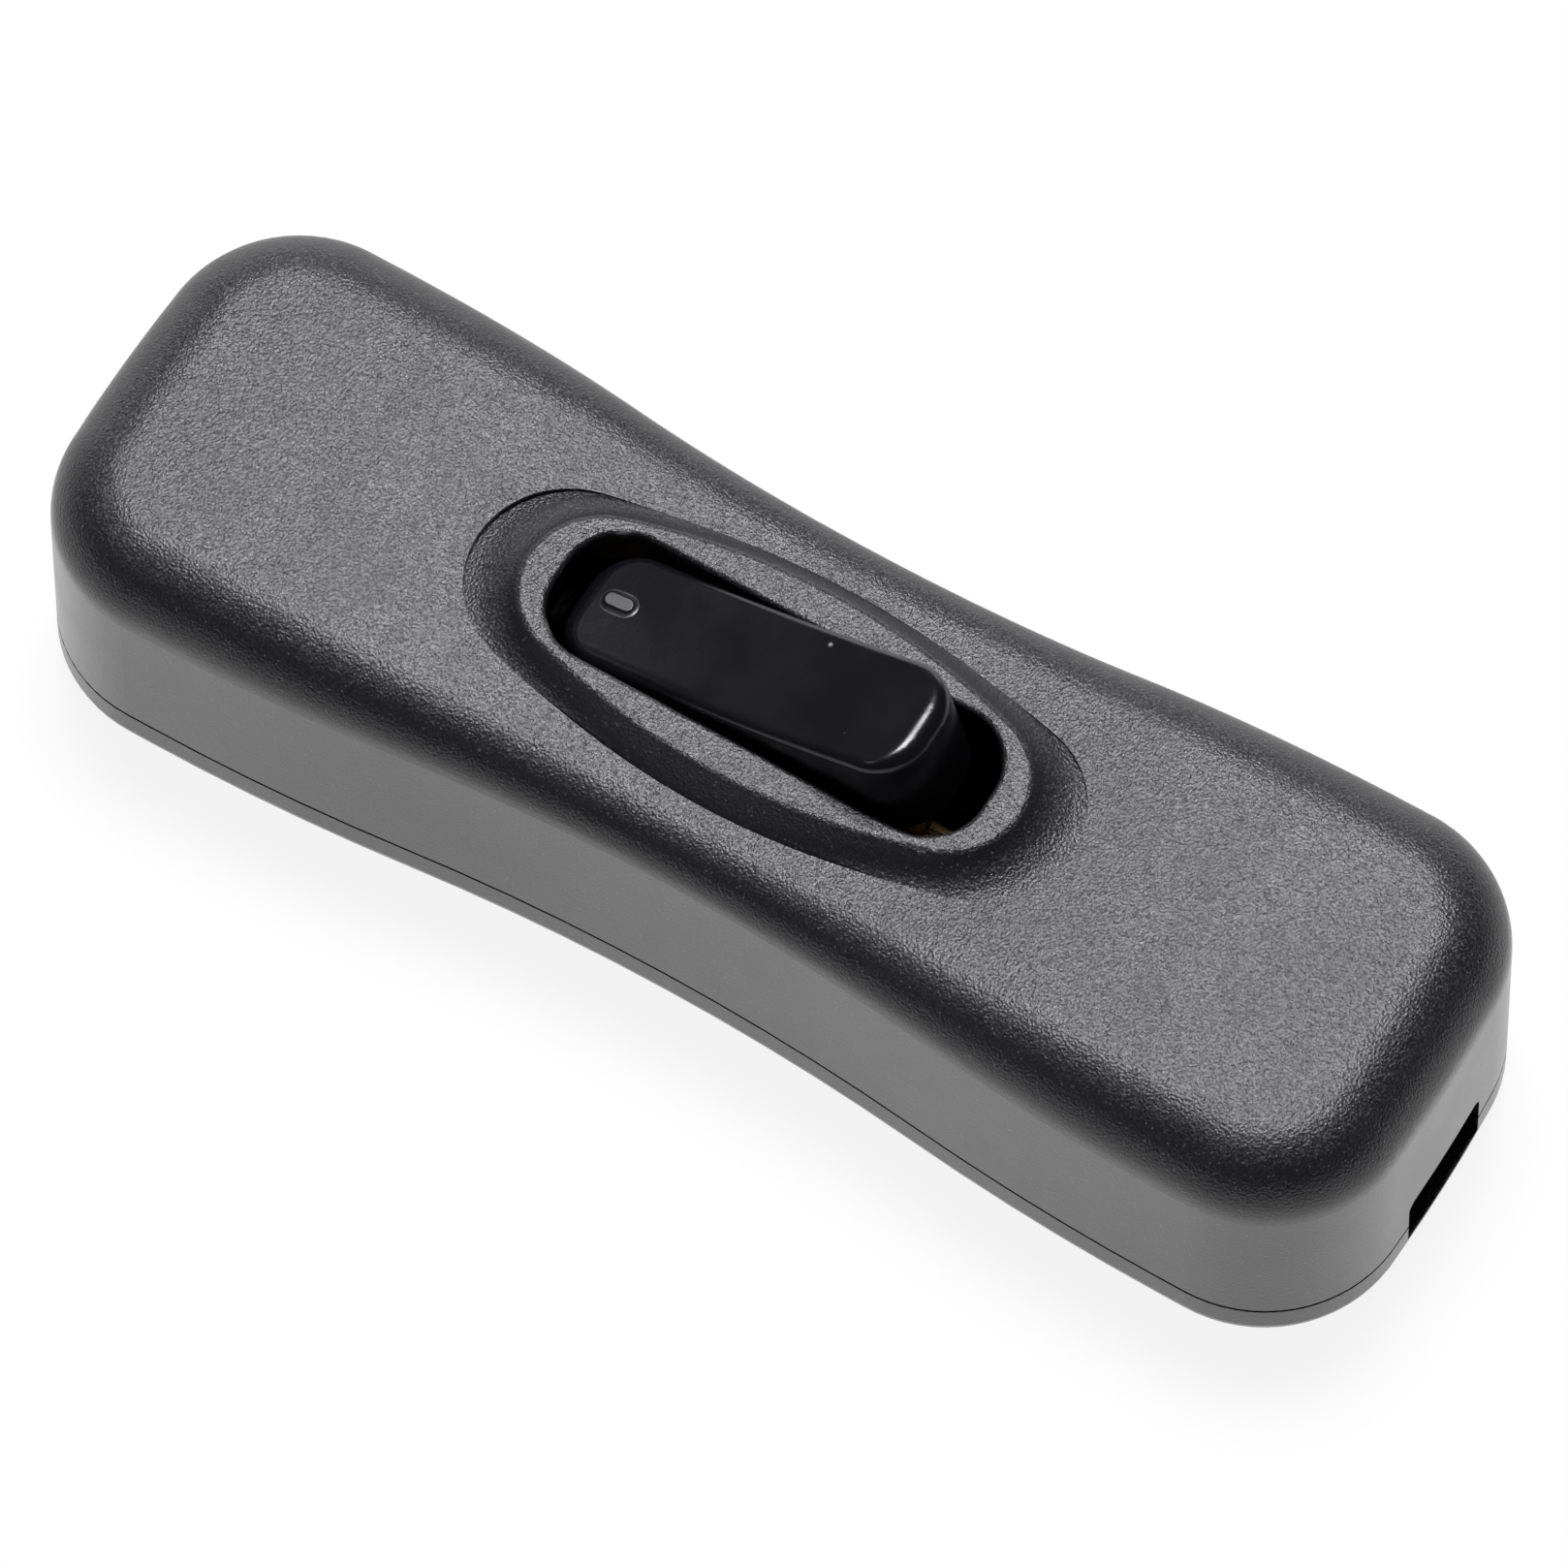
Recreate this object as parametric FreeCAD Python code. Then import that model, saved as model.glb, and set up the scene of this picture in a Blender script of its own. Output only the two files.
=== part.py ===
import FreeCAD, Part
import math
import os

from FreeCAD import Vector

# Inline cord switch with a tilting rocker and a see-saw contact. Sizes are millimetres.
# The origin is the centre of the underside. +X points to the right cord inlet and +Z is up.
# The rocker rests with its left end pressed down, which is the switch's off position.

# Housing outline
body_length = 62.0
body_width = 19.6
body_height = 12.9
waist_depth = 1.3
corner_radius = 6.2
end_straight = 1.1
end_bulge = 0.09
side_draft = 0.85
end_draft = 2.1
bottom_radius = 0.75
top_dip = 0.8
waist_round = 2.1
shoulder_round = 2.65
end_round = 3.25
bottom_sections = 3

# Housing walls and the joint between cover and base
seam_height = 2.1
seam_groove_height = 0.15
seam_groove_depth = 0.25
cover_wall = 1.4
cover_roof = 1.6
base_floor = 1.2
lip_gap = 0.1
lip_wall = 0.9
lip_height = 0.8

# Rocker
rocker_length = 17.0
rocker_width = 5.4
rocker_corner = 2.2
rocker_rise = 3.2
rocker_dish = 0.5
rocker_skirt = 0.8
rocker_wall = 1.0
rocker_roof = 1.3
rocker_side_edge = 0.4
rocker_end_edge = 0.85
rocker_tilt = 15.5
trunnion_radius = 1.0
trunnion_length = 1.4
stem_radius = 1.9
stem_drop = 3.0
running_gap = 0.05

# Collar and ring around the rocker's slot
collar_rise = 0.45
slot_end_gap = 0.6
slot_side_gap = 0.25
slot_edge = 0.25
collar_land_end = 1.5
collar_land_side = 1.65
collar_end_radius = 3.4
collar_edge = 0.3
ring_end = 2.4
ring_side = 0.85
ring_end_radius = 4.3
ring_depth = 0.6
flank_mid_end = 0.4
flank_mid_side = 0.65
flank_mid_up = 0.34
pivot_depth = 2.35
cheek_length = 4.6
cheek_drop = 1.6
cheek_wall = 0.5

# Plunger and spring
plunger_reach = 5.2
plunger_radius = 1.2
plunger_top = 1.2
spring_room = 2.6
spring_wire = 0.18
spring_turns = 5
wire_sides = 6
tip_gap = 0.1

# See-saw contact and its rivets
seesaw_tilt = 8.0
blade_length = 6.5
blade_slope = 12.0
blade_thickness = 0.6
blade_width = 2.6
blade_rise = 0.5
bead_radius = 0.7
contact_inset = 0.8
contact_radius = 1.2
contact_head = 0.6
rivet_radius = 0.6
rivet_tail = 0.3
rivet_tail_radius = 1.0
rivet_fit = 0.02
contact_gap = 0.15
bead_notch = 0.3

# Terminal strips
strip_thickness = 0.8
saddle_height = 1.0
saddle_length = 2.6
saddle_clear = 0.2
cheek_gap = 0.1
saddle_cheek = 0.6
saddle_cheek_rise = 0.3
pole_gap = 2.4
terminal_gap = 0.3
terminal_length = 6.0
neck_length = 2.2
line_out_lead = 1.5
neutral_gap = 0.4
barrier_gap = 0.5
barrier_wall = 0.6
barrier_rise = 0.4
barrier_end_gap = 2.2

# Terminal screws and washers
terminal_screw_radius = 1.1
terminal_head_margin = 0.3
terminal_head_height = 1.7
terminal_screw_bite = 1.5
washer_thickness = 0.8
washer_margin = 0.2
driver_slot_width = 0.6
driver_slot_depth = 0.7
screw_fit = 0.02
head_bevel = 0.5
terminal_turns = (25, -40, 70, 10)

# Stop peg under the see-saw's right arm
peg_inset = 1.5
peg_radius = 0.9
peg_gap = 0.1
peg_fit = 0.1

# Cord inlets and clamps
inlet_width = 5.6
inlet_floor = 0.9
inlet_top = 3.8
inlet_corner = 0.5
cord_room = 2.4
clamp_setback = 2.6
clamp_width = 4.4
clamp_corner = 1.1
clamp_thickness = 1.8
clamp_end_gap = 0.3
clamp_rib_gap = 0.5
clamp_rib_width = 1.2
clamp_rib_depth = 0.6
clamp_post_radius = 1.9
clamp_screw_radius = 1.1
clamp_head_radius = 1.8
clamp_head_height = 1.2
clamp_screw_bite = 2.0
grip_rib_height = 0.5
grip_rib_width = 0.8
grip_rib_offset = 1.3
clamp_turns = (-20, 35)

# Screws that hold the cover on the base
boss_radius = 2.3
boss_gap = 0.4
base_boss_wall = 0.6
base_boss_top = 3.0
boss_side_gap = 0.2
cover_screw_radius = 1.25
cover_head_radius = 2.1
cover_head_height = 1.5
cover_head_recess = 0.4
cover_head_clear = 0.2
cover_screw_length = 7.0
seat_gap = 0.05
cover_screw_turn = 20

# How far ribs and bosses are rooted in the floor and the roof, how far a cut runs past the face
# that it opens, and how nearly level an edge is that counts as level
floor_root = 0.6
roof_root = 0.4
cut_past = 1.0
level_reach = 0.001

# Places that follow from the sizes
half_length = body_length / 2
half_width = body_width / 2
half_waist = half_width - waist_depth
rim_wall = cover_wall + lip_gap + lip_wall
inner_end = half_length - rim_wall
inner_side = half_width - rim_wall
inner_waist = half_waist - rim_wall
ceiling = body_height - cover_roof
round_start = body_height - end_round
waist_x = half_length - corner_radius - end_straight
ring_floor = body_height - ring_depth

collar_top = body_height + collar_rise
pivot_z = collar_top - pivot_depth
rocker_half = rocker_length / 2
tilt = math.radians(rocker_tilt)
rocker_end_rise = rocker_rise + rocker_dish
slot_half_length = rocker_half * math.cos(tilt) + rocker_end_rise * math.sin(tilt) + slot_end_gap
slot_half_width = rocker_width / 2 + slot_side_gap
slot_corner = rocker_corner + slot_side_gap
collar_half_length = slot_half_length + collar_land_end
collar_half_width = slot_half_width + collar_land_side
ring_half_length = collar_half_length + ring_end
ring_half_width = collar_half_width + ring_side

stem_bore = plunger_radius + running_gap
blade_top = pivot_z - plunger_reach - tip_gap
seesaw_z = blade_top - blade_rise
strip_top = seesaw_z - saddle_height
strip_seat = strip_top - strip_thickness
strip_half = blade_width / 2 + cheek_gap + saddle_cheek

clamp_x = inner_end - clamp_setback - clamp_width / 2
clamp_seat = base_floor + cord_room
clamp_reach = inner_side - clamp_end_gap
clamp_post_y = clamp_reach - clamp_width / 2
clamp_rib_half = clamp_post_y - clamp_post_radius - clamp_rib_gap
boss_x = clamp_x - clamp_width / 2 - boss_gap - boss_radius
boss_y = inner_side - boss_side_gap - boss_radius
terminal_end = boss_x - boss_radius - boss_gap
terminal_x = terminal_end - terminal_length / 2
terminal_start = terminal_end - terminal_length
terminal_inner = pole_gap / 2
terminal_outer = inner_waist - terminal_gap
terminal_y = (terminal_inner + terminal_outer) / 2
terminal_width = terminal_outer - terminal_inner
terminal_head_radius = terminal_width / 2 - terminal_head_margin
boss_places = [(-boss_x, boss_y), (boss_x, -boss_y)]

contact_reach = blade_length - contact_inset
line_out_start = contact_reach - line_out_lead
peg_reach = blade_length - peg_inset
barrier_y = strip_half + barrier_gap
barrier_half = terminal_start - barrier_end_gap
neutral_inner = barrier_y + barrier_wall + neutral_gap
spring_top = pivot_z - plunger_top + spring_room
slope = math.radians(blade_slope)
arm_angle = math.radians(blade_slope - seesaw_tilt)
centre_under = blade_top - blade_thickness / math.cos(slope)
peg_top = centre_under + (peg_reach - peg_radius) * math.tan(arm_angle) - peg_gap

x_axis = Vector(1, 0, 0)
y_axis = Vector(0, 1, 0)
z_axis = Vector(0, 0, 1)
rocker_pivot = Vector(0, 0, pivot_z)
seesaw_pivot = Vector(0, 0, seesaw_z)


def box(x0, x1, y0, y1, z0, z1):
    return Part.makeBox(x1 - x0, y1 - y0, z1 - z0, Vector(x0, y0, z0))


def post(x, y, z0, z1, radius):
    return Part.makeCylinder(radius, z1 - z0, Vector(x, y, z0), z_axis)


def arc(start, middle, end):
    return Part.Arc(start, middle, end).toShape()


def line(start, end):
    return Part.LineSegment(start, end).toShape()


def prism(wire, height):
    return Part.Face(wire).extrude(Vector(0, 0, height))


def fuse_all(shapes):
    return shapes[0].multiFuse(shapes[1:]).removeSplitter()


def level_edges(shape, z):
    return [edge for edge in shape.Edges
            if abs(edge.BoundBox.ZMin - z) < level_reach and abs(edge.BoundBox.ZMax - z) < level_reach]


def round_level_edges(shape, z, radius):
    return shape.makeFillet(radius, level_edges(shape, z))


def bevel_level_edges(shape, z, size):
    return shape.makeChamfer(size, level_edges(shape, z))


def save(name, shape):
    solids = shape.Solids
    shape = solids[0] if len(solids) == 1 else Part.makeCompound(solids)
    shape.exportStep(os.path.join("parts", name + ".step"))


# Housing outline: straight ends, rounded corners and a waist of tangent arcs. The same arcs make
# the dip along the top.

def bend_drop(depth, run):
    # How far a waist's arc has fallen a short way from where it starts.
    bend = (waist_x ** 2 + depth ** 2) / (4 * depth)
    return bend - math.sqrt(bend ** 2 - run ** 2)


def waisted_outline(z, inset):
    rise = z - bottom_radius
    inset_x = inset + rise * math.tan(math.radians(end_draft))
    inset_y = inset + rise * math.tan(math.radians(side_draft))
    end_x = half_length - inset_x
    side_y = half_width - inset_y
    waist_y = half_waist - inset_y
    radius = corner_radius - inset_y
    middle_y = (side_y + waist_y) / 2
    start_y = side_y - bend_drop(waist_depth, waist_x / 4)
    rise_y = waist_y + bend_drop(waist_depth, waist_x / 4)
    diagonal = radius * math.sqrt(0.5)

    def point(x, y):
        return Vector(x, y, z)

    edges = []
    for side in (1, -1):
        # The far side runs from right to left, and the near side back again.
        edges.append(arc(
            point(side * end_x, side * (side_y - radius)),
            point(side * (end_x - radius + diagonal), side * (side_y - radius + diagonal)),
            point(side * (end_x - radius), side * side_y)))
        edges.append(line(
            point(side * (end_x - radius), side * side_y),
            point(side * waist_x, side * side_y)))
        edges.append(arc(
            point(side * waist_x, side * side_y),
            point(side * waist_x * 3 / 4, side * start_y),
            point(side * waist_x / 2, side * middle_y)))
        edges.append(arc(
            point(side * waist_x / 2, side * middle_y),
            point(side * waist_x / 4, side * rise_y),
            point(0, side * waist_y)))
        edges.append(arc(
            point(0, side * waist_y),
            point(-side * waist_x / 4, side * rise_y),
            point(-side * waist_x / 2, side * middle_y)))
        edges.append(arc(
            point(-side * waist_x / 2, side * middle_y),
            point(-side * waist_x * 3 / 4, side * start_y),
            point(-side * waist_x, side * side_y)))
        edges.append(line(
            point(-side * waist_x, side * side_y),
            point(-side * (end_x - radius), side * side_y)))
        edges.append(arc(
            point(-side * (end_x - radius), side * side_y),
            point(-side * (end_x - radius + diagonal), side * (side_y - radius + diagonal)),
            point(-side * end_x, side * (side_y - radius))))
        edges.append(arc(
            point(-side * end_x, side * (side_y - radius)),
            point(-side * (end_x + end_bulge), 0),
            point(-side * end_x, -side * (side_y - radius))))
    return Part.Wire(edges)


def drafted_block(z0, z1, inset):
    wires = [waisted_outline(z0, inset), waisted_outline(z1, inset)]
    return Part.makeLoft(wires, True, True)


def above_top():
    # Everything above the dipped top.
    low = body_height - top_dip
    middle = body_height - top_dip / 2
    fall = bend_drop(top_dip, waist_x / 4)
    over = 2 * body_height

    def point(x, z):
        return Vector(x, -body_width, z)

    edges = [
        line(point(-body_length, body_height), point(-waist_x, body_height)),
        arc(point(-waist_x, body_height), point(-waist_x * 3 / 4, body_height - fall),
            point(-waist_x / 2, middle)),
        arc(point(-waist_x / 2, middle), point(0, low), point(waist_x / 2, middle)),
        arc(point(waist_x / 2, middle), point(waist_x * 3 / 4, body_height - fall),
            point(waist_x, body_height)),
        line(point(waist_x, body_height), point(body_length, body_height)),
        line(point(body_length, body_height), point(body_length, over)),
        line(point(body_length, over), point(-body_length, over)),
        line(point(-body_length, over), point(-body_length, body_height)),
    ]
    return Part.Face(Part.Wire(edges)).extrude(Vector(0, 2 * body_width, 0))


def rounded_rim(block, tops, radius_at):
    # Rounds the edge round a top, where each edge takes its radius from the places of its two ends.
    seams = [edge for number, face in enumerate(tops) for edge in face.Edges
             if any(edge.isSame(other) for near in tops[number + 1:] for other in near.Edges)]
    rim = [edge for face in tops for edge in face.Edges
           if not any(edge.isSame(seam) for seam in seams)]
    drawing = FreeCAD.newDocument("rounding")
    solid = drawing.addObject("Part::Feature", "solid")
    solid.Shape = block
    rounding = drawing.addObject("Part::Fillet", "rounding")
    rounding.Base = solid
    rounding.Edges = [
        (number, radius_at(edge.firstVertex().X), radius_at(edge.lastVertex().X))
        for number, edge in enumerate(block.Edges, 1) if any(edge.isSame(other) for other in rim)]
    drawing.recompute()
    shape = rounding.Shape.copy()
    FreeCAD.closeDocument(drawing.Name)
    return shape


def housing_round_at(x):
    # The housing's top rounding grows from the waist to the ends.
    if abs(x) < waist_x / 4:
        return waist_round
    if abs(x) < waist_x * 3 / 4:
        return shoulder_round
    return end_round


def bottom_rounding():
    # A quarter from the underside up to the side walls, in flat bands.
    wires = []
    for step in range(bottom_sections + 1):
        angle = math.pi / 2 * step / bottom_sections
        z = bottom_radius * (1 - math.cos(angle))
        wires.append(waisted_outline(z, bottom_radius * (1 - math.sin(angle))))
    return Part.makeLoft(wires, True, True)


# Collar and ring: ovals of four tangent arcs

def oval(length, width, end_radius, z):
    end_x = length - end_radius
    side_radius = (end_x ** 2 + width ** 2 - end_radius ** 2) / (2 * (width - end_radius))
    centre_y = width - side_radius
    reach = math.hypot(end_x, centre_y)
    join_x = end_x + end_radius * end_x / reach
    join_y = -end_radius * centre_y / reach
    edges = []
    for side in (1, -1):
        edges.append(arc(
            Vector(side * join_x, -side * join_y, z),
            Vector(side * length, 0, z),
            Vector(side * join_x, side * join_y, z)))
        edges.append(arc(
            Vector(side * join_x, side * join_y, z),
            Vector(0, side * width, z),
            Vector(-side * join_x, side * join_y, z)))
    return Part.Wire(edges)


def rounded_rectangle(length, width, radius, z):
    diagonal = radius * (1 - math.sqrt(0.5))
    edges = []
    for side in (1, -1):
        edges.append(arc(
            Vector(side * length, side * (width - radius), z),
            Vector(side * (length - diagonal), side * (width - diagonal), z),
            Vector(side * (length - radius), side * width, z)))
        edges.append(line(
            Vector(side * (length - radius), side * width, z),
            Vector(-side * (length - radius), side * width, z)))
        edges.append(arc(
            Vector(-side * (length - radius), side * width, z),
            Vector(-side * (length - diagonal), side * (width - diagonal), z),
            Vector(-side * length, side * (width - radius), z)))
        edges.append(line(
            Vector(-side * length, side * (width - radius), z),
            Vector(-side * length, -side * (width - radius), z)))
    return Part.Wire(edges)


def collar():
    # The flank is steep along the sides and hollow at the ends, where it meets the ring's floor.
    # Under the ring's floor the sides run on to meet the dipped top.
    foot = ceiling + roof_root
    height = collar_top - ring_floor
    side_run = (ring_floor - foot) * ring_side / height
    middle_radius = (ring_end_radius + collar_end_radius) / 2
    flank = Part.makeLoft([
        oval(ring_half_length, ring_half_width, ring_end_radius, ring_floor),
        oval(collar_half_length + ring_end * flank_mid_end,
             collar_half_width + ring_side * flank_mid_side, middle_radius,
             ring_floor + height * flank_mid_up),
        oval(collar_half_length, collar_half_width, collar_end_radius, collar_top),
    ], True, False)
    flank = round_level_edges(flank, collar_top, collar_edge)
    skirt = Part.makeLoft([
        oval(ring_half_length, ring_half_width + side_run, ring_end_radius, foot),
        oval(ring_half_length, ring_half_width, ring_end_radius, ring_floor),
    ], True, True)
    hole_wire = rounded_rectangle(slot_half_length, slot_half_width, slot_corner, ceiling)
    solid = flank.fuse(skirt).cut(prism(hole_wire, collar_top))
    land_middle = collar_half_width - collar_land_side / 2
    rim = [edge for edge in level_edges(solid, collar_top)
           if edge.BoundBox.YMax < land_middle and edge.BoundBox.YMin > -land_middle]
    return solid.makeFillet(slot_edge, rim)


def inlet_cut(side, z0, z1, corner):
    # The way in for the flat cord, through one end wall.
    block = box(inner_end - cut_past, half_length + cut_past, -inlet_width / 2, inlet_width / 2, z0, z1)
    if corner > 0:
        edges = [edge for edge in level_edges(block, z1) if edge.BoundBox.YLength < level_reach]
        block = block.makeFillet(corner, edges)
    if side < 0:
        block.rotate(Vector(0, 0, 0), z_axis, 180)
    return block


def cover():
    block = drafted_block(seam_height, body_height + cut_past, 0.0).cut(above_top())
    tops = [face for face in block.Faces if face.BoundBox.ZMin > round_start
            and face.BoundBox.ZMax < body_height + level_reach]
    outside = rounded_rim(block, tops, housing_round_at)
    # The cavity comes in under the top rounding.
    rise = ceiling - round_start
    rounding = end_round - math.sqrt(end_round ** 2 - rise ** 2)
    cavity_wires = [
        waisted_outline(seam_height, cover_wall),
        waisted_outline(round_start, cover_wall),
        waisted_outline(ceiling, cover_wall + rounding),
    ]
    shell = outside.cut(Part.makeLoft(cavity_wires, True, True))
    ring_wire = oval(ring_half_length, ring_half_width, ring_end_radius, ring_floor)
    shell = shell.cut(prism(ring_wire, collar_top))
    pieces = [shell, collar()]
    # Bearing cheeks for the rocker's trunnions hang from the roof beside the slot.
    cheek_outer = slot_half_width + trunnion_length + cheek_wall
    for side in (1, -1):
        near, far = sorted((side * slot_half_width, side * cheek_outer))
        pieces.append(box(-cheek_length / 2, cheek_length / 2, near, far,
                          pivot_z - cheek_drop, ceiling + roof_root))
    for x, y in boss_places:
        pieces.append(post(x, y, base_boss_top + seat_gap, ceiling + roof_root, boss_radius))
    body = fuse_all(pieces)
    slot_wire = rounded_rectangle(slot_half_length, slot_half_width, slot_corner, ceiling - cut_past)
    slot_height = ring_floor - ceiling + cut_past
    body = body.cut(prism(slot_wire, slot_height))
    # Each trunnion drops into its bearing from below.
    bearing = trunnion_radius + running_gap
    reach = slot_half_width + trunnion_length
    cylinder = Part.makeCylinder(bearing, 2 * reach, Vector(0, -reach, pivot_z), y_axis)
    channel = box(-bearing, bearing, -reach, reach, pivot_z - cheek_drop - cut_past, pivot_z)
    body = body.cut(cylinder.fuse(channel))
    for x, y in boss_places:
        depth = cover_head_recess + cover_head_height + cover_screw_length + seat_gap
        body = body.cut(post(x, y, base_boss_top - cut_past, depth, cover_screw_radius + screw_fit))
    for side in (1, -1):
        body = body.cut(inlet_cut(side, seam_height - cut_past, inlet_top, inlet_corner))
    return body


def base():
    lower = drafted_block(bottom_radius, seam_height - seam_groove_height, 0.0)
    neck = drafted_block(base_floor, seam_height, seam_groove_depth)
    lip = drafted_block(base_floor, seam_height + lip_height, cover_wall + lip_gap)
    tray = fuse_all([bottom_rounding(), lower, neck, lip])
    tray = tray.cut(drafted_block(base_floor, seam_height + lip_height + cut_past, rim_wall))
    pieces = [tray]
    margin = terminal_gap
    for side in (1, -1):
        start, end = sorted((side * (terminal_start + margin), side * (terminal_end - margin)))
        pieces.append(box(start, end, terminal_inner + margin, terminal_outer - margin,
                          base_floor - floor_root, strip_seat))
        pieces.append(box(start, end, -terminal_outer + margin, -terminal_inner - margin,
                          base_floor - floor_root, strip_seat))
        rib_x = side * peg_reach
        pieces.append(box(rib_x - peg_radius, rib_x + peg_radius, neutral_inner + margin,
                          terminal_outer - margin, base_floor - floor_root, strip_seat))
        for offset in (-grip_rib_offset, grip_rib_offset):
            x = side * clamp_x + offset
            pieces.append(box(x - grip_rib_width / 2, x + grip_rib_width / 2,
                              -inlet_width / 2, inlet_width / 2,
                              base_floor - floor_root, base_floor + grip_rib_height))
        for y in (-clamp_post_y, clamp_post_y):
            pieces.append(post(side * clamp_x, y, base_floor - floor_root, clamp_seat, clamp_post_radius))
    # The rib under the saddle carries the stop peg, and a second rib carries the fixed contact.
    rib_half = blade_width / 2
    pieces.append(box(-saddle_length / 2, peg_reach + peg_radius, -rib_half, rib_half,
                      base_floor - floor_root, strip_seat))
    pieces.append(box(-contact_reach - contact_radius, -line_out_start - margin,
                      -rib_half, rib_half, base_floor - floor_root, strip_seat))
    pieces.append(post(peg_reach, 0, base_floor - floor_root, peg_top, peg_radius))
    pieces.append(box(-barrier_half, barrier_half, barrier_y, barrier_y + barrier_wall,
                      base_floor - floor_root, seesaw_z + barrier_rise))
    for x, y in boss_places:
        pieces.append(post(x, y, base_floor - floor_root, base_boss_top,
                           cover_head_radius + cover_head_clear + base_boss_wall))
    body = fuse_all(pieces)
    for x, y in boss_places:
        head_seat = cover_head_recess + cover_head_height
        body = body.cut(post(x, y, -cut_past, head_seat, cover_head_radius + cover_head_clear))
        body = body.cut(post(x, y, 0, base_boss_top + cut_past, cover_screw_radius + screw_fit))
    for x in (-terminal_x, terminal_x):
        for y in (-terminal_y, terminal_y):
            body = body.cut(post(x, y, strip_seat - terminal_screw_bite, strip_seat + cut_past,
                                 terminal_screw_radius + screw_fit))
    for x in (-clamp_x, clamp_x):
        for y in (-clamp_post_y, clamp_post_y):
            body = body.cut(post(x, y, clamp_seat - clamp_screw_bite, clamp_seat + cut_past,
                                 clamp_screw_radius + screw_fit))
    for side in (1, -1):
        body = body.cut(inlet_cut(side, inlet_floor, seam_height + lip_height + cut_past, 0.0))
    return body


# Rocker, plunger and spring, built level about the pivot and then tilted

def lean_rocker(shape):
    shape.rotate(rocker_pivot, y_axis, -rocker_tilt)
    return shape


def rocker_round_at(x):
    # The rocker's ends are rounder than its sides.
    return rocker_end_edge if abs(x) > rocker_half - rocker_corner / 2 else rocker_side_edge


def rocker():
    # The top is dished along its length for the fingertip.
    bottom = pivot_z - rocker_skirt
    top = pivot_z + rocker_rise
    outline = rounded_rectangle(rocker_half, rocker_width / 2, rocker_corner, bottom)
    dish_radius = (rocker_half ** 2 + rocker_dish ** 2) / (2 * rocker_dish)
    dish = Part.makeCylinder(dish_radius, rocker_width + 2 * cut_past,
                             Vector(0, -rocker_width / 2 - cut_past, top + dish_radius), y_axis)
    shell = prism(outline, top + rocker_dish + cut_past - bottom).cut(dish)
    tops = [face for face in shell.Faces if face.BoundBox.ZMin > top - level_reach]
    shell = rounded_rim(shell, tops, rocker_round_at)
    hollow = rounded_rectangle(rocker_half - rocker_wall, rocker_width / 2 - rocker_wall,
                               rocker_corner - rocker_wall, bottom - cut_past)
    shell = shell.cut(prism(hollow, top - rocker_roof - bottom + cut_past))
    stem = post(0, 0, pivot_z - stem_drop, top - rocker_roof / 2, stem_radius)
    reach = slot_half_width + trunnion_length - running_gap
    trunnions = Part.makeCylinder(trunnion_radius, 2 * reach, Vector(0, -reach, pivot_z), y_axis)
    body = fuse_all([shell, stem, trunnions])
    body = body.cut(post(0, 0, pivot_z - stem_drop - cut_past, spring_top, stem_bore))
    return lean_rocker(body)


def plunger():
    centre_z = pivot_z - plunger_reach + plunger_radius
    ball = Part.makeSphere(plunger_radius, Vector(0, 0, centre_z))
    pin = post(0, 0, centre_z, pivot_z - plunger_top, plunger_radius)
    return lean_rocker(fuse_all([pin, ball]))


def plunger_spring():
    # The coil fits in the stem between the plunger's top and the bore's end.
    height = spring_room - 2 * spring_wire
    radius = plunger_radius - spring_wire - running_gap
    helix = Part.makeHelix(height / spring_turns, height, radius)
    corners = []
    for step in range(wire_sides + 1):
        angle = 2 * math.pi * step / wire_sides
        corners.append(Vector(radius + spring_wire * math.cos(angle), 0, spring_wire * math.sin(angle)))
    section = Part.makePolygon(corners)
    coil = Part.Wire(helix.Edges).makePipeShell([section], True, True)
    coil.translate(Vector(0, 0, spring_top - spring_room + spring_wire))
    return lean_rocker(coil)


# See-saw contact and rivets, built level about the bead and then tilted

def lean_seesaw(shape):
    shape.rotate(seesaw_pivot, y_axis, seesaw_tilt)
    return shape


def rivet_to_arm(shape):
    # Stands a rivet, drawn with the arm's top at height zero, on the left arm.
    shape.rotate(Vector(0, 0, 0), y_axis, blade_slope)
    shape.translate(Vector(-contact_reach * math.cos(slope), 0,
                           blade_top + contact_reach * math.sin(slope)))
    return shape


def seesaw_contact():
    tip_x = blade_length * math.cos(slope)
    tip_z = blade_top + blade_length * math.sin(slope)
    under_x = tip_x + blade_thickness * math.sin(slope)
    under_z = tip_z - blade_thickness * math.cos(slope)
    y = -blade_width / 2
    corners = [
        Vector(0, y, blade_top),
        Vector(tip_x, y, tip_z),
        Vector(under_x, y, under_z),
        Vector(0, y, centre_under),
        Vector(-under_x, y, under_z),
        Vector(-tip_x, y, tip_z),
    ]
    profile = Part.Face(Part.makePolygon(corners + corners[:1]))
    blade = profile.extrude(Vector(0, blade_width, 0))
    bead = Part.makeCylinder(bead_radius, blade_width, Vector(0, y, seesaw_z), y_axis)
    bead = bead.cut(box(-2 * bead_radius, 2 * bead_radius, y - cut_past, -y + cut_past,
                        centre_under + bead_notch, blade_top + bead_radius))
    hole = post(0, 0, -2 * blade_thickness, blade_thickness, rivet_radius + rivet_fit)
    body = fuse_all([blade, bead]).cut(rivet_to_arm(hole))
    return lean_seesaw(body)


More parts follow.
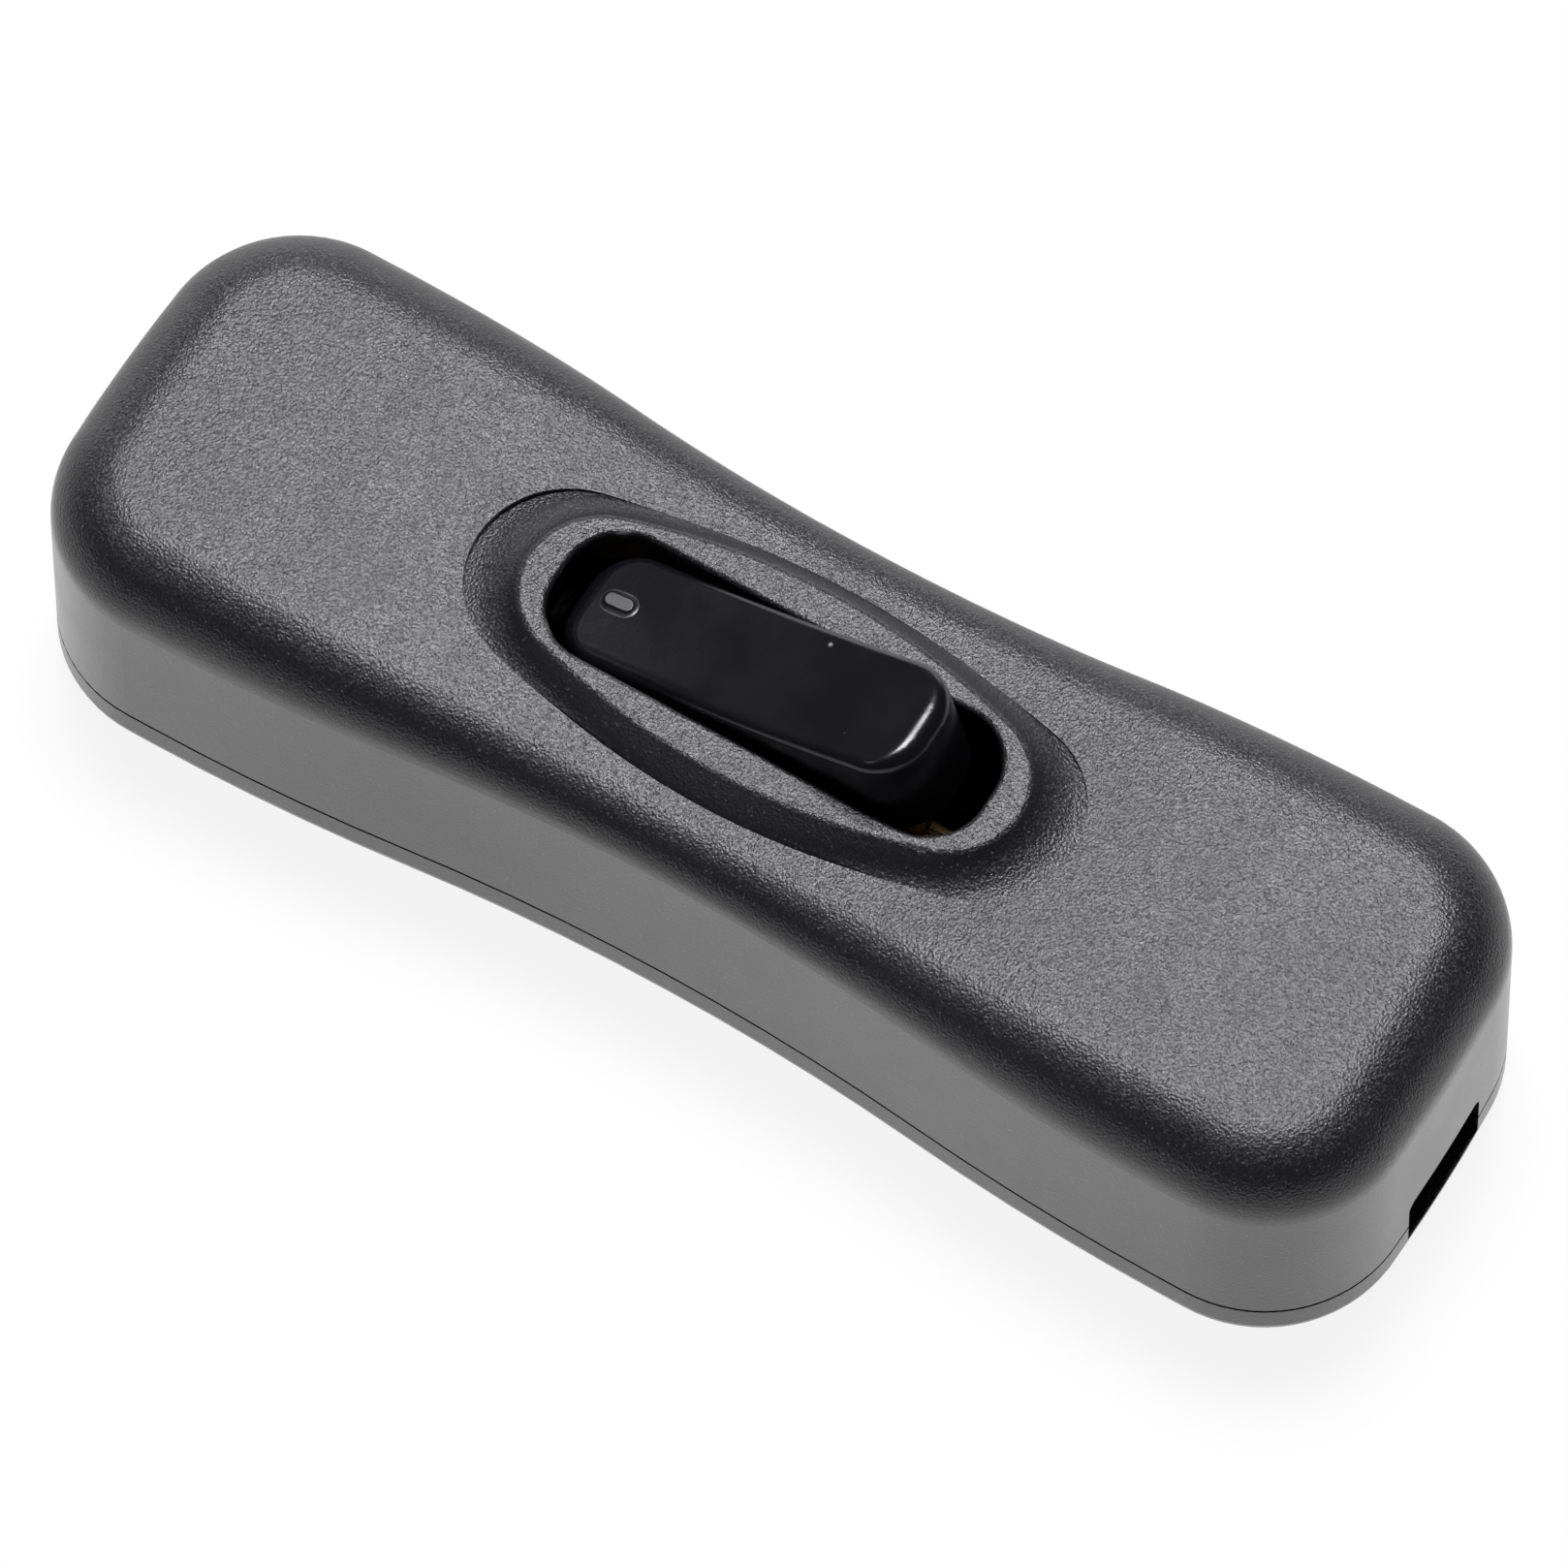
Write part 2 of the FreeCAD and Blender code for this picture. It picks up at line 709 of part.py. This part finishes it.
def moving_contact():
    head = post(0, 0, -blade_thickness - contact_head, -blade_thickness, contact_radius)
    shank = post(0, 0, -blade_thickness - contact_head / 2, rivet_tail / 2, rivet_radius)
    tail = post(0, 0, 0, rivet_tail, rivet_tail_radius)
    return lean_seesaw(rivet_to_arm(fuse_all([head, shank, tail])))


def closed_contact_point():
    # Where the moving contact's face comes to lie when the see-saw has tilted over.
    depth = blade_thickness + contact_head
    x = -contact_reach * math.cos(slope) - depth * math.sin(slope)
    z = blade_top + contact_reach * math.sin(slope) - depth * math.cos(slope) - seesaw_z
    turn = math.radians(-seesaw_tilt)
    return (x * math.cos(turn) + z * math.sin(turn),
            seesaw_z - x * math.sin(turn) + z * math.cos(turn))


contact_x, contact_z = closed_contact_point()


def fixed_contact():
    head = post(contact_x, 0, strip_top, contact_z - contact_gap, contact_radius)
    shank = post(contact_x, 0, strip_seat, strip_top + (contact_z - contact_gap - strip_top) / 2,
                 rivet_radius)
    return fuse_all([head, shank])


# Terminal strips

def line_strip(side, start):
    # A strip under the see-saw that turns aside into a screw platform on the near side.
    corner = terminal_start - neck_length
    points = [
        (start, strip_half),
        (corner, strip_half),
        (terminal_start, strip_half - neck_length),
        (terminal_start + neck_length, -terminal_inner),
        (terminal_end, -terminal_inner),
        (terminal_end, -terminal_outer),
        (terminal_start, -terminal_outer),
        (terminal_start, -strip_half - neck_length / 2),
        (corner, -strip_half),
        (start, -strip_half),
    ]
    corners = [Vector(side * x, y, strip_seat) for x, y in points]
    strip = prism(Part.makePolygon(corners + corners[:1]), strip_thickness)
    hole = post(side * terminal_x, -terminal_y, 0, body_height, terminal_screw_radius + screw_fit)
    return strip.cut(hole)


def line_in_terminal():
    strip = line_strip(1, -saddle_length / 2)
    half = saddle_length / 2
    inside = blade_width / 2 + cheek_gap
    saddle = box(-half, half, -strip_half, strip_half, strip_top - strip_thickness / 2,
                 seesaw_z - saddle_clear)
    cheeks = box(-half, half, -strip_half, strip_half, strip_top, seesaw_z + saddle_cheek_rise)
    cheeks = cheeks.cut(box(-half - cut_past, half + cut_past, -inside, inside,
                            strip_top - cut_past, body_height))
    trough = Part.makeCylinder(bead_radius + running_gap, 2 * inside, Vector(0, -inside, seesaw_z), y_axis)
    body = fuse_all([strip, saddle, cheeks]).cut(trough)
    return body.cut(post(peg_reach, 0, 0, body_height, peg_radius + peg_fit))


def line_out_terminal():
    strip = line_strip(-1, line_out_start)
    return strip.cut(post(contact_x, 0, 0, body_height, rivet_radius + rivet_fit))


def neutral_terminal():
    bar = box(-terminal_x, terminal_x, neutral_inner, terminal_outer, strip_seat, strip_top)
    ends = [box(*sorted((side * terminal_start, side * terminal_end)), terminal_inner,
                terminal_outer, strip_seat, strip_top) for side in (1, -1)]
    body = fuse_all([bar] + ends)
    for x in (-terminal_x, terminal_x):
        body = body.cut(post(x, terminal_y, 0, body_height, terminal_screw_radius + screw_fit))
    return body


# Screws and washers

def slotted_screw(x, y, seat, shank, radius, head_radius, head_height, turn):
    # A bevelled head on its seat, with the shank below it.
    head = post(x, y, seat, seat + head_height, head_radius)
    head = bevel_level_edges(head, seat + head_height, head_bevel)
    body = fuse_all([head, post(x, y, seat - shank, seat + head_height / 2, radius)])
    top = seat + head_height
    cut = box(x - driver_slot_width / 2, x + driver_slot_width / 2, y - 2 * head_radius,
              y + 2 * head_radius, top - driver_slot_depth, top + cut_past)
    cut.rotate(Vector(x, y, 0), z_axis, turn)
    return body.cut(cut)


def terminal_screw(x, y, turn):
    seat = strip_top + washer_thickness
    shank = washer_thickness + strip_thickness + terminal_screw_bite - seat_gap
    return slotted_screw(x, y, seat, shank, terminal_screw_radius, terminal_head_radius,
                         terminal_head_height, turn)


def square_washer(x, y):
    half = terminal_width / 2 - washer_margin
    plate = box(x - half, x + half, y - half, y + half, strip_top, strip_top + washer_thickness)
    return plate.cut(post(x, y, 0, body_height, terminal_screw_radius + screw_fit))


def cover_screw(x, y):
    # Driven from below, so it is drawn head up and turned over about its seat.
    seat = cover_head_recess + cover_head_height
    screw = slotted_screw(x, y, seat, cover_screw_length, cover_screw_radius, cover_head_radius,
                          cover_head_height, cover_screw_turn)
    screw.rotate(Vector(x, y, seat), x_axis, 180)
    return screw


# Cord clamps

def cord_clamp(x):
    outline = rounded_rectangle(clamp_reach, clamp_width / 2, clamp_corner, 0)
    outline.rotate(Vector(0, 0, 0), z_axis, 90)
    bar = prism(outline, clamp_thickness)
    bar.translate(Vector(x, 0, clamp_seat))
    rib = box(x - clamp_rib_width / 2, x + clamp_rib_width / 2, -clamp_rib_half,
              clamp_rib_half, clamp_seat - clamp_rib_depth, clamp_seat + clamp_thickness / 2)
    body = fuse_all([bar, rib])
    for y in (-clamp_post_y, clamp_post_y):
        body = body.cut(post(x, y, 0, body_height, clamp_screw_radius + screw_fit))
    return body


def clamp_screws(x):
    seat = clamp_seat + clamp_thickness
    shank = clamp_thickness + clamp_screw_bite - seat_gap
    screws = []
    for y, turn in zip((-clamp_post_y, clamp_post_y), clamp_turns):
        screws.append(slotted_screw(x, y, seat, shank, clamp_screw_radius, clamp_head_radius,
                                    clamp_head_height, turn))
    return Part.makeCompound(screws)


os.makedirs("parts", exist_ok=True)
save("cover", cover())
save("base", base())
save("rocker", rocker())
save("plunger", plunger())
save("plunger_spring", plunger_spring())
save("seesaw_contact", seesaw_contact())
save("moving_contact", moving_contact())
save("fixed_contact", fixed_contact())
save("line_in_terminal", line_in_terminal())
save("line_out_terminal", line_out_terminal())
save("neutral_terminal", neutral_terminal())
terminal_places = (
    ("line_in_{}", terminal_x, -terminal_y),
    ("line_out_{}", -terminal_x, -terminal_y),
    ("neutral_{}_left", -terminal_x, terminal_y),
    ("neutral_{}_right", terminal_x, terminal_y),
)
for (name, x, y), turn in zip(terminal_places, terminal_turns):
    save(name.format("screw"), terminal_screw(x, y, turn))
    save(name.format("washer"), square_washer(x, y))
for name, side, place in (("left", -1, boss_places[0]), ("right", 1, boss_places[1])):
    save("cover_screw_" + name, cover_screw(*place))
    save("cord_clamp_" + name, cord_clamp(side * clamp_x))
    save("clamp_screws_" + name, clamp_screws(side * clamp_x))
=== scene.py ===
import math

import bpy
from mathutils import Matrix, Vector


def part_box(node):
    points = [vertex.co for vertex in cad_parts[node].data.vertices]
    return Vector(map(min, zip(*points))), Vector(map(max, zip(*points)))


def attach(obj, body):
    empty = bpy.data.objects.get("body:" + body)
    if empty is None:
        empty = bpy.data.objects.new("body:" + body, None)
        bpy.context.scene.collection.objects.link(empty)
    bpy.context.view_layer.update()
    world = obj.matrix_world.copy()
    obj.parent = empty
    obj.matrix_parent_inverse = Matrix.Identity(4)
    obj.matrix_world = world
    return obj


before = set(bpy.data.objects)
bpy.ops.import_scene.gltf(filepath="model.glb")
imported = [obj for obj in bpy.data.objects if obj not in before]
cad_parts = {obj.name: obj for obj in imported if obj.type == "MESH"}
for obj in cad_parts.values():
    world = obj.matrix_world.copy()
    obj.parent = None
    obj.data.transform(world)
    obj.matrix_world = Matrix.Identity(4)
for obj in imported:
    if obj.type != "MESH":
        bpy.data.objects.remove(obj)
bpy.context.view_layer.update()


# Cover and base: the two halves of the housing, moulded in black plastic and screwed together
# from below. The mould was spark-eroded, which leaves fine pits on the top and the collar. On the
# drafted walls, which slide out of the mould, the pits are much shallower. Light glinting off the
# pits is painted into the colour as pale flecks, most on the faces that look up, and a painted
# highlight sits on the two left corners of the rocker's slot.

class Paint:
    """A shader socket whose sums and products add the nodes that work them out."""

    def __init__(self, tree, socket):
        self.tree = tree
        self.socket = socket

    def add(self, kind, settings=None, inputs=None, output=0):
        node = self.tree.nodes.new("ShaderNode" + kind)
        for name, value in (settings or {}).items():
            setattr(node, name, value)
        for name, value in (inputs or {}).items():
            if isinstance(value, Paint):
                self.tree.links.new(value.socket, node.inputs[name])
            else:
                node.inputs[name].default_value = value
        return Paint(self.tree, node.outputs[output])

    def maths(self, operation, *others):
        return self.add("Math", {"operation": operation}, dict(enumerate((self, *others))))

    def __add__(self, other):
        return self.maths("ADD", other)

    def __radd__(self, other):
        return self.maths("ADD", other)

    def __sub__(self, other):
        return self.maths("SUBTRACT", other)

    def __rsub__(self, other):
        return self.maths("MULTIPLY_ADD", -1.0, other)

    def __mul__(self, other):
        return self.maths("MULTIPLY", other)

    def __rmul__(self, other):
        return self.maths("MULTIPLY", other)

    def noise(self, scale, detail=2.0):
        return self.add("TexNoise", {}, {"Vector": self, "Scale": scale, "Detail": detail})

    def cells(self, scale):
        # How far a point is from the middle of its own cell, in cells.
        return self.add("TexVoronoi", {"feature": "F1"}, {"Vector": self, "Scale": scale}, "Distance")

    def stretched(self, scale):
        return self.add("Mapping", {}, {"Vector": self, "Scale": scale})

    def along(self, axis):
        return self.add("SeparateXYZ", {}, {0: self}, axis)

    def near(self, x, y, z, radius):
        # 1 at a spot on the piece, which falls to 0 at the radius.
        gap = self.add("VectorMath", {"operation": "DISTANCE"}, {0: self, 1: (x, y, z)}, "Value")
        return gap.ramp(0.0, radius, 1.0, 0.0)

    def ramp(self, start, end, low=0.0, high=1.0):
        # A smooth step from low to high while the value goes from start to end.
        inputs = {"Value": self, "From Min": start, "From Max": end, "To Min": low, "To Max": high}
        return self.add("MapRange", {"interpolation_type": "SMOOTHSTEP"}, inputs)

    def mix(self, first, second):
        # This value is the share of the second colour.
        return self.add("Mix", {"data_type": "RGBA"}, {0: self, 6: first, 7: second}, 2)

    def bump(self, depth, under=None):
        # The surface raised by this value, on top of another bump where one lies under it.
        inputs = {"Height": self, "Strength": 1.0, "Distance": depth}
        if under is not None:
            inputs["Normal"] = under
        return self.add("Bump", {}, inputs)


def new_finish(name):
    # A material, with its place and its facing as Paints, and its surface shader.
    material = bpy.data.materials.new(name)
    material.use_nodes = True
    tree = material.node_tree
    coordinates = tree.nodes.new("ShaderNodeTexCoord")
    place = Paint(tree, coordinates.outputs["Object"])
    facing = Paint(tree, coordinates.outputs["Normal"])
    return material, place, facing, tree.nodes["Principled BSDF"]


def dress(surface, **inputs):
    for name, value in inputs.items():
        socket = surface.inputs[name.replace("_", " ")]
        if isinstance(value, Paint):
            value.tree.links.new(value.socket, socket)
        else:
            socket.default_value = value


def colour(red, green, blue):
    return (red, green, blue, 1.0)


def paint_nodes(material, *names):
    for name in names:
        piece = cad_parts[name]
        piece.data.materials.clear()
        piece.data.materials.append(material)


pit_depth = 0.00004
moulded_black = colour(0.011, 0.011, 0.013)
dust_and_glint_grey = colour(0.16, 0.16, 0.16)
plastic_shine = colour(0.97, 0.965, 1.0)
slot_far_corner = (-0.00855, 0.00262, 0.0133)
slot_near_corner = (-0.00890, -0.00238, 0.0131)

housing_black, place, facing, surface = new_finish("eroded_black")
flatness = facing.along("Z").maths("ABSOLUTE")
pits = place.noise(9500.0) + place.cells(7600.0) * 0.35
height = pits * flatness.ramp(0.05, 0.4, 0.45, 1.0)
# Painted glints: pale flecks in the colour, on the faces that look up and as small spots on the pits
# everywhere, stand in for light glinting off the pits.
painted_sparkle = place.noise(8800.0).ramp(0.46, 0.72) * flatness.ramp(0.7, 0.97)
painted_pit_glint = place.cells(4600.0).ramp(0.12, 0.26, 1.0, 0.0) * place.noise(2900.0, 1.0).ramp(0.48, 0.58)
dust = place.cells(800.0).ramp(0.03, 0.09, 1.0, 0.0) * place.noise(300.0, 1.0).ramp(0.5, 0.6)
# Painted highlight: pale spots at the two left corners of the rocker's slot, where its rim catches the
# light.
slot_painted_highlight = place.near(*slot_far_corner, 0.00045) + place.near(*slot_near_corner, 0.0005)
light = painted_sparkle * 0.42 + painted_pit_glint * 0.5 + dust * 0.4 + slot_painted_highlight * 0.9
gloss = place.noise(260.0, 3.0).ramp(0.3, 0.7, 0.31, 0.35)
dress(surface, Base_Color=light.maths("MINIMUM", 1.0).mix(moulded_black, dust_and_glint_grey), Roughness=gloss,
      IOR=1.55, Specular_Tint=plastic_shine, Coat_Weight=flatness.ramp(0.1, 0.5, 0.6, 0.0),
      Coat_Roughness=0.30, Normal=height.bump(pit_depth))
paint_nodes(housing_black, "cover", "base")


# Cord clamps: two plain black moulded bars, each held by two screws, that press the cord down just
# inside its inlet. They keep the faint ripple of plastic that cooled as it flowed along the bar.

clamp_black, place, facing, surface = new_finish("clamp_black")
flow = place.stretched((1.0, 0.25, 1.0))
ripple = flow.noise(1400.0, 3.0)
fine = place.noise(9000.0, 1.0)
dress(surface, Base_Color=ripple.mix(colour(0.040, 0.040, 0.043), colour(0.060, 0.060, 0.063)),
      Roughness=ripple.ramp(0.3, 0.7, 0.42, 0.55), Normal=(ripple * 0.6 + fine * 0.4).bump(0.00001))
paint_nodes(clamp_black, "cord_clamp_left", "cord_clamp_right")


# Terminal strips: stamped from rolled brass sheet and held on the base by the terminal screws. The
# rolling left fine lines along the housing, and the air a thin brown tarnish in patches.

rolling_stretch = (0.06, 1.0, 1.0)
clean_brass = colour(0.60, 0.41, 0.18)
tarnished_brass = colour(0.30, 0.18, 0.08)


def rolled_brass(name):
    material, place, facing, surface = new_finish(name)
    lines = place.stretched(rolling_stretch).noise(9000.0)
    tarnish = place.noise(420.0, 4.0).ramp(0.36, 0.60)
    dress(surface, Metallic=1.0, Base_Color=tarnish.mix(clean_brass, tarnished_brass),
          Roughness=lines.ramp(0.3, 0.7, 0.24, 0.34) + tarnish * 0.16, Normal=lines.bump(0.000006))
    return material


paint_nodes(rolled_brass("rolled_brass"), "line_in_terminal", "line_out_terminal", "neutral_terminal")


# Terminal screws, clamp screws and cover screws: turned steel with bright zinc plating, which keeps
# the fine rings of the lathe on each head. The square washers under the terminal screws are plated
# with them and look the same.

lathe_feed = 0.00009
zinc_grey = colour(0.50, 0.51, 0.53)
zinc_bright = colour(0.66, 0.66, 0.66)


def plated_steel(name, pieces, centres):
    # The rings run round the nearest of the centres, each an x and a y.
    material, place, facing, surface = new_finish(name)
    across = place.along("X")
    deep = place.along("Y")
    ring = None
    for x, y in centres:
        gap = ((across - x) * (across - x) + (deep - y) * (deep - y)).maths("SQRT")
        ring = gap if ring is None else ring.maths("MINIMUM", gap)
    turned = (ring * (2.0 * math.pi / lathe_feed)).maths("SINE") * 0.5 + 0.5
    spangle = place.noise(900.0, 3.0)
    handled = place.noise(5000.0)
    dress(surface, Metallic=1.0, Base_Color=spangle.mix(zinc_grey, zinc_bright),
          Roughness=spangle.ramp(0.3, 0.7, 0.22, 0.36),
          Normal=(turned * 0.5 + handled * 0.5).bump(0.000004))
    paint_nodes(material, *pieces)


def middle(node):
    low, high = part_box(node)
    return (low.x + high.x) / 2, (low.y + high.y) / 2


for side in ("left", "right"):
    cover_screw = "cover_screw_" + side
    clamp_screws = "clamp_screws_" + side
    low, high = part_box(clamp_screws)
    head_radius = (high.x - low.x) / 2
    x = (low.x + high.x) / 2
    heads = [(x, low.y + head_radius), (x, high.y - head_radius)]
    plated_steel("plated_clamp_" + side, [clamp_screws], heads)
    plated_steel("plated_cover_" + side, [cover_screw], [middle(cover_screw)])
    plated_steel("plated_neutral_" + side, ["neutral_screw_" + side, "neutral_washer_" + side],
                 [middle("neutral_screw_" + side)])
for name in ("line_in", "line_out"):
    plated_steel("plated_" + name, [name + "_screw", name + "_washer"], [middle(name + "_screw")])


# See-saw contact: a brass bridge, bent from the same rolled sheet as the strips. It rocks on the
# saddle of the line-in strip when the plunger passes over its middle.

paint_nodes(rolled_brass("bridge_brass"), "seesaw_contact")


# Contact rivets: silver heads, pressed smooth and dulled by small grey burns from the arc where they
# meet. One is fixed to the line-out strip, and the other to the see-saw contact.

contact_silver, place, facing, surface = new_finish("contact_silver")
burn = place.noise(2600.0, 4.0).ramp(0.5, 0.68)
dress(surface, Metallic=1.0, Base_Color=burn.mix(colour(0.82, 0.81, 0.78), colour(0.35, 0.33, 0.31)),
      Roughness=burn * 0.3 + 0.2, Normal=place.noise(7000.0).bump(0.000004))
paint_nodes(contact_silver, "fixed_contact", "moving_contact")


# Plunger and its spring: an off-white slippery pin with fine lines along it from its mould, and a
# coil of drawn steel wire behind it in the rocker's stem.

plunger_white, place, facing, surface = new_finish("plunger_white")
lines = place.stretched((1.0, 1.0, 0.15)).noise(7000.0)
dress(surface, Base_Color=lines.mix(colour(0.66, 0.64, 0.58), colour(0.74, 0.73, 0.69)),
      Roughness=lines.ramp(0.3, 0.7, 0.36, 0.44), Normal=lines.bump(0.000005))
paint_nodes(plunger_white, "plunger")

spring_steel, place, facing, surface = new_finish("spring_steel")
drawn = place.noise(12000.0, 3.0)
dress(surface, Metallic=1.0, Base_Color=drawn.mix(colour(0.36, 0.36, 0.38), colour(0.52, 0.52, 0.54)),
      Roughness=drawn.ramp(0.3, 0.7, 0.25, 0.4), Normal=drawn.bump(0.000003))
paint_nodes(spring_steel, "plunger_spring")


# Rocker: one smooth black moulding that tilts on two trunnions. Fingers have rubbed it to a low
# gloss and softened its near edge on the left, and it carries a few pale specks and one small chip.

polished_black = colour(0.005, 0.005, 0.007)
bare_grey = colour(0.30, 0.30, 0.31)
polish_shine = colour(0.95, 0.94, 1.0)
chip_place = (0.00143, 0.00197, 0.01476)
chip_radius = 0.00014
rubbed_depth = -0.00022

rocker_black, place, facing, surface = new_finish("smooth_black")
ripple = place.noise(620.0)
fine = place.noise(6000.0)
smear = place.noise(240.0, 3.0).ramp(0.4, 0.65)
speck = place.cells(1100.0).ramp(0.02, 0.07, 1.0, 0.0) * place.noise(420.0, 1.0).ramp(0.54, 0.62)
light = (speck * 0.35 + place.near(*chip_place, chip_radius)).maths("MINIMUM", 1.0)
near_side = place.along("Y").ramp(-0.0027, -0.0017, 1.0, 0.0)
left_end = place.along("X").ramp(-0.0045, 0.0015, 1.0, 0.0)
near_left = near_side * left_end
rubbed_edge = (near_left * near_left * rubbed_depth).bump(1.0)
dress(surface, Base_Color=light.mix(polished_black, bare_grey), Roughness=smear * 0.05 + 0.23 + light * 0.3,
      IOR=1.46, Specular_Tint=polish_shine, Normal=(ripple * 0.7 + fine * 0.3).bump(0.000014, rubbed_edge))
paint_nodes(rocker_black, "rocker")


# The mark for off: a flat raised oval moulded in one with the rocker's left end. A soft hollow
# fillet runs round its foot, and the faces that look along the mark's up direction are coloured lighter.

mark_length = 0.00186
mark_width = 0.00118
mark_skirt = 0.00003
mark_place = Vector((-0.00722, 0.00018, 0.01259))
mark_lean = math.radians(10.3)
mark_foot = ((0.00009, 0.00001), (0.00010, 0.00003), (0.00008, 0.00005),
             (0.00003, 0.00006), (0.00002, 0.00001), (0.00002, 0.0))
mark_up = (-math.sin(mark_lean), 0.0, math.cos(mark_lean))

bpy.ops.object.select_all(action="DESELECT")
bpy.ops.mesh.primitive_plane_add(size=1.0, location=(0.0, 0.0, 0.0))
off_mark = bpy.context.object
off_mark.name = "off_mark"
bpy.ops.object.mode_set(mode="EDIT")
bpy.ops.mesh.select_all(action="SELECT")
bpy.ops.transform.resize(value=(mark_length, mark_width, 1.0))
bpy.ops.mesh.bevel(offset=mark_width * 0.49, segments=12, affect="VERTICES")
bpy.ops.mesh.select_all(action="SELECT")
bpy.ops.mesh.extrude_region_move(TRANSFORM_OT_translate={"value": (0.0, 0.0, mark_skirt)})
for inward, upward in mark_foot:
    bpy.ops.mesh.inset(thickness=inward)
    bpy.ops.transform.translate(value=(0.0, 0.0, upward))
bpy.ops.mesh.select_all(action="SELECT")
bpy.ops.mesh.normals_make_consistent(inside=False)
bpy.ops.transform.rotate(value=mark_lean, orient_axis="Y", center_override=(0.0, 0.0, 0.0))
bpy.ops.transform.translate(value=mark_place)
bpy.ops.object.mode_set(mode="OBJECT")
bpy.ops.object.shade_smooth_by_angle(angle=math.radians(35.0))

mark_black, place, facing, surface = new_finish("rubbed_mark")
rubbed = place.noise(9000.0)
upwards = facing.add("VectorMath", {"operation": "DOT_PRODUCT"}, {0: facing, 1: mark_up}, "Value")
lighter_top = upwards.ramp(0.97, 0.995) * (rubbed * 0.3 + 0.7)
dress(surface, Base_Color=lighter_top.mix(colour(0.012, 0.012, 0.014), colour(0.13, 0.13, 0.135)),
      Roughness=rubbed.ramp(0.3, 0.7, 0.28, 0.34), Normal=rubbed.bump(0.000003))
off_mark.data.materials.append(mark_black)
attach(off_mark, "rocker_body")


# Floor and room: a plain white table top that keeps the switch's shadow, in a dim room. The camera
# and the reflections see it a little whiter than the lamps alone would make it.

floor_size = 3.0
floor_drop = 0.00002
floor_glow = 0.88
room_light = 0.04

bpy.ops.object.select_all(action="DESELECT")
bpy.ops.mesh.primitive_plane_add(size=floor_size, location=(0.0, 0.0, -floor_drop))
floor = bpy.context.object
floor.name = "floor"
floor_white, place, facing, surface = new_finish("floor_white")
dress(surface, Base_Color=colour(0.9, 0.9, 0.9), Roughness=0.9)
glow = place.add("Emission", {}, {"Color": colour(1.0, 1.0, 1.0), "Strength": 1.0})
seen = place.add("LightPath", {}, {}, "Is Camera Ray")
mirrored = place.add("LightPath", {}, {}, "Is Glossy Ray")
through = place.add("LightPath", {}, {}, "Is Transmission Ray")
shown = (seen + mirrored + through).maths("MINIMUM", 1.0) * floor_glow
lit = Paint(floor_white.node_tree, surface.outputs[0])
blend = place.add("MixShader", {}, {0: shown, 1: lit, 2: glow})
shown_by = floor_white.node_tree.nodes["Material Output"].inputs["Surface"]
floor_white.node_tree.links.new(blend.socket, shown_by)
floor.data.materials.append(floor_white)

world = bpy.data.worlds.new("studio")
bpy.context.scene.world = world
world.use_nodes = True
room = world.node_tree.nodes["Background"]
room.inputs["Color"].default_value = colour(1.0, 1.0, 1.0)
room.inputs["Strength"].default_value = room_light


# Lamps: three soft oval lamps, each a metre from the switch and turned to it. One stands high over
# the far side, a small one over the near left, and a wide low one lights the far side like a screen.

def soft_lamp(name, azimuth, elevation, width, height, watts):
    # The azimuth is counted from the right cord inlet to the far side, both angles in degrees.
    lamp = bpy.data.lights.new(name, "AREA")
    lamp.shape = "ELLIPSE"
    lamp.size = width
    lamp.size_y = height
    lamp.energy = watts
    holder = bpy.data.objects.new(name, lamp)
    bpy.context.collection.objects.link(holder)
    around = math.radians(azimuth)
    up = math.radians(elevation)
    way = Vector((math.cos(around) * math.cos(up), math.sin(around) * math.cos(up), math.sin(up)))
    holder.location = way
    holder.rotation_euler = way.to_track_quat("Z", "Y").to_euler()


soft_lamp("key_lamp", 118.0, 72.0, 0.40, 0.32, 11.0)
soft_lamp("near_lamp", 222.0, 55.0, 0.14, 0.14, 0.45)
soft_lamp("backdrop_lamp", 128.0, 10.0, 2.20, 0.40, 4.0)


# Camera: it stands where the photograph was taken from, above the near side and to the right, and
# its frame is shifted so that the switch falls on the same part of the picture.

camera_azimuth = math.radians(31.467)
camera_elevation = math.radians(63.543)
camera_roll = math.radians(-0.356)
camera_distance = 0.428787
focal_pixels = 10929.8
centre_x = 799.196
centre_y = 860.182
photo_size = 1618.0
sensor_width = 36.0

camera = bpy.data.objects.new("camera", bpy.data.cameras.new("camera"))
bpy.context.collection.objects.link(camera)
back = Vector((math.sin(camera_azimuth) * math.cos(camera_elevation),
               -math.cos(camera_azimuth) * math.cos(camera_elevation), math.sin(camera_elevation)))
sideways = Vector((math.cos(camera_azimuth), math.sin(camera_azimuth), 0.0))
upright = back.cross(sideways)
right = math.cos(camera_roll) * sideways + math.sin(camera_roll) * upright
above = math.cos(camera_roll) * upright - math.sin(camera_roll) * sideways
turn = Matrix((right, above, back)).transposed().to_4x4()
camera.matrix_world = Matrix.Translation(back * camera_distance) @ turn
camera.data.sensor_width = sensor_width
camera.data.lens = focal_pixels / photo_size * sensor_width
camera.data.shift_x = (photo_size / 2 - centre_x) / photo_size
camera.data.shift_y = (centre_y - photo_size / 2) / photo_size
camera.data.clip_start = 0.01
camera.data.clip_end = 10.0
bpy.context.scene.camera = camera
bpy.context.scene.view_settings.view_transform = "Standard"
